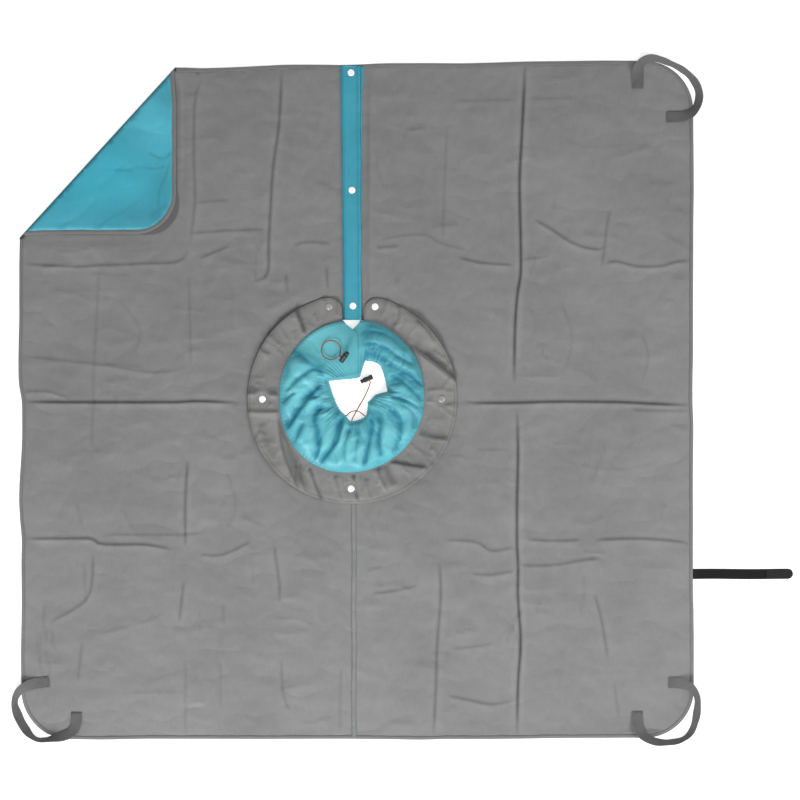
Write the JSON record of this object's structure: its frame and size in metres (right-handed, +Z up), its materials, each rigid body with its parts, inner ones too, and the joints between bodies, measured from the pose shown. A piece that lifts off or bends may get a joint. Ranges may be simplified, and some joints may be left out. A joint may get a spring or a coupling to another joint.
{
  "type": "repotting mat",
  "caption": "Square coated-cloth ground mat with a slit under a snapped placket, a removable collar with a drawstring sleeve for a stem, corner handles, a turned-over corner and a strap.",
  "frame": {"origin": "middle of the footprint at ground level, with the handles and the strap lying out", "axes": "+Z up; +X to the right, the way the roll-up strap points; +Y to the edge where the slit starts"},
  "size_m": [1.7506, 1.5538, 0.0485],
  "materials": {
    "grey_cloth": "matt coated weave",
    "turquoise_cloth": "smooth coated face",
    "turquoise_nylon": "thin glossy nylon",
    "grey_webbing": "ribbed webbing",
    "black_hook_tape": "hook and loop tape",
    "snap_metal": "nickel plated",
    "brown_cord": "braided cord",
    "black_plastic": "moulded",
    "spring_steel": "bright wire"
  },
  "bodies": {
    "mat": {"centre_seam_tape": "grey_cloth", "collar_snap_1_stud": "snap_metal", "collar_snap_2_stud": "snap_metal", "collar_snap_3_stud": "snap_metal", "collar_snap_4_stud": "snap_metal", "collar_snap_5_stud": "snap_metal", "edge_binding_lower_left": "grey_cloth", "edge_binding_right": "grey_cloth", "edge_binding_top_left": "grey_cloth", "handle_bl_end_1": "grey_webbing", "handle_bl_end_2": "grey_webbing", "handle_br_end_1": "grey_webbing", "handle_br_end_2": "grey_webbing", "handle_tr_end_1": "grey_webbing", "handle_tr_end_2": "grey_webbing", "mat_panel_left": "grey_cloth", "mat_panel_right": "grey_cloth", "placket_margin": "turquoise_cloth", "placket_snap_1_stud": "snap_metal", "placket_snap_2_stud": "snap_metal", "placket_snap_3_stud": "snap_metal", "slit_underlap": "turquoise_cloth"},
    "corner_flap": {"corner_flap": "turquoise_cloth", "flap_binding": "grey_cloth", "handle_tl_end_1": "grey_webbing", "handle_tl_end_2": "grey_webbing", "handle_tl_loop": "grey_webbing"},
    "placket": {"placket_flap": "turquoise_cloth", "placket_snap_1_socket": "snap_metal", "placket_snap_2_socket": "snap_metal", "placket_snap_3_socket": "snap_metal"},
    "collar": {"collar_ring": "grey_cloth", "collar_sleeve": "turquoise_nylon", "collar_snap_1_socket": "snap_metal", "collar_snap_2_socket": "snap_metal", "collar_snap_3_socket": "snap_metal", "collar_snap_4_socket": "snap_metal", "collar_snap_5_socket": "snap_metal", "drawcord_arch": "brown_cord", "drawcord_hem_run": "brown_cord", "drawcord_loop": "brown_cord", "drawcord_tail": "brown_cord", "cord_lock_a_barrel": "black_plastic", "cord_lock_a_spring": "spring_steel", "cord_lock_b_barrel": "black_plastic", "cord_lock_b_spring": "spring_steel"},
    "cord_lock_a_plunger": {"cord_lock_a_plunger": "black_plastic"},
    "cord_lock_b_plunger": {"cord_lock_b_plunger": "black_plastic"},
    "handle_tr": {"handle_tr_loop": "grey_webbing"},
    "handle_br": {"handle_br_loop": "grey_webbing"},
    "handle_bl": {"handle_bl_loop": "grey_webbing"},
    "roll_strap": {"roll_strap": "black_hook_tape", "strap_hook_patch": "black_hook_tape"}
  },
  "joints": [
    {"name": "corner_fold", "type": "hinge", "parent": "mat", "child": "corner_flap", "pos_m": [-0.67325, 0.558, 0.00225], "axis": [-0.6742, -0.7386, 0], "range_deg": [0, 180]},
    {"name": "placket_lift", "type": "hinge", "parent": "mat", "child": "placket", "pos_m": [-0.1249, 0.1825, 0.0059], "axis": [0.012, -0.9999, 0], "range_deg": [0, 160]},
    {"name": "collar_lift_off", "type": "slide", "parent": "mat", "child": "collar", "axis": [0, 0, 1], "range_m": [0, 0.12]},
    {"name": "cord_lock_a_press", "type": "slide", "parent": "collar", "child": "cord_lock_a_plunger", "axis": [0.9092, 0.4163, 0], "range_m": [0, 0.0025], "stiffness_N_per_m": 800, "springref_m": -0.002, "deforming": ["cord_lock_a_spring"]},
    {"name": "cord_lock_b_press", "type": "slide", "parent": "collar", "child": "cord_lock_b_plunger", "axis": [-0.4861, -0.6593, -0.5736], "range_m": [0, 0.0025], "stiffness_N_per_m": 800, "springref_m": -0.002, "deforming": ["cord_lock_b_spring"]},
    {"name": "handle_tr_swing", "type": "hinge", "parent": "mat", "child": "handle_tr", "pos_m": [0.598, 0.6965, 0.00225], "axis": [0.7071, -0.7071, 0], "range_deg": [0, 150]},
    {"name": "handle_br_swing", "type": "hinge", "parent": "mat", "child": "handle_br", "pos_m": [0.598, -0.6965, 0.00225], "axis": [-0.7071, -0.7071, 0], "range_deg": [0, 150]},
    {"name": "handle_bl_swing", "type": "hinge", "parent": "mat", "child": "handle_bl", "pos_m": [-0.795, -0.6965, 0.00225], "axis": [-0.7071, 0.7071, 0], "range_deg": [0, 150]},
    {"name": "roll_strap_lift", "type": "hinge", "parent": "mat", "child": "roll_strap", "pos_m": [0.6515, -0.3846, 0.0015], "axis": [0, -1, 0], "range_deg": [0, 170]}
  ]
}
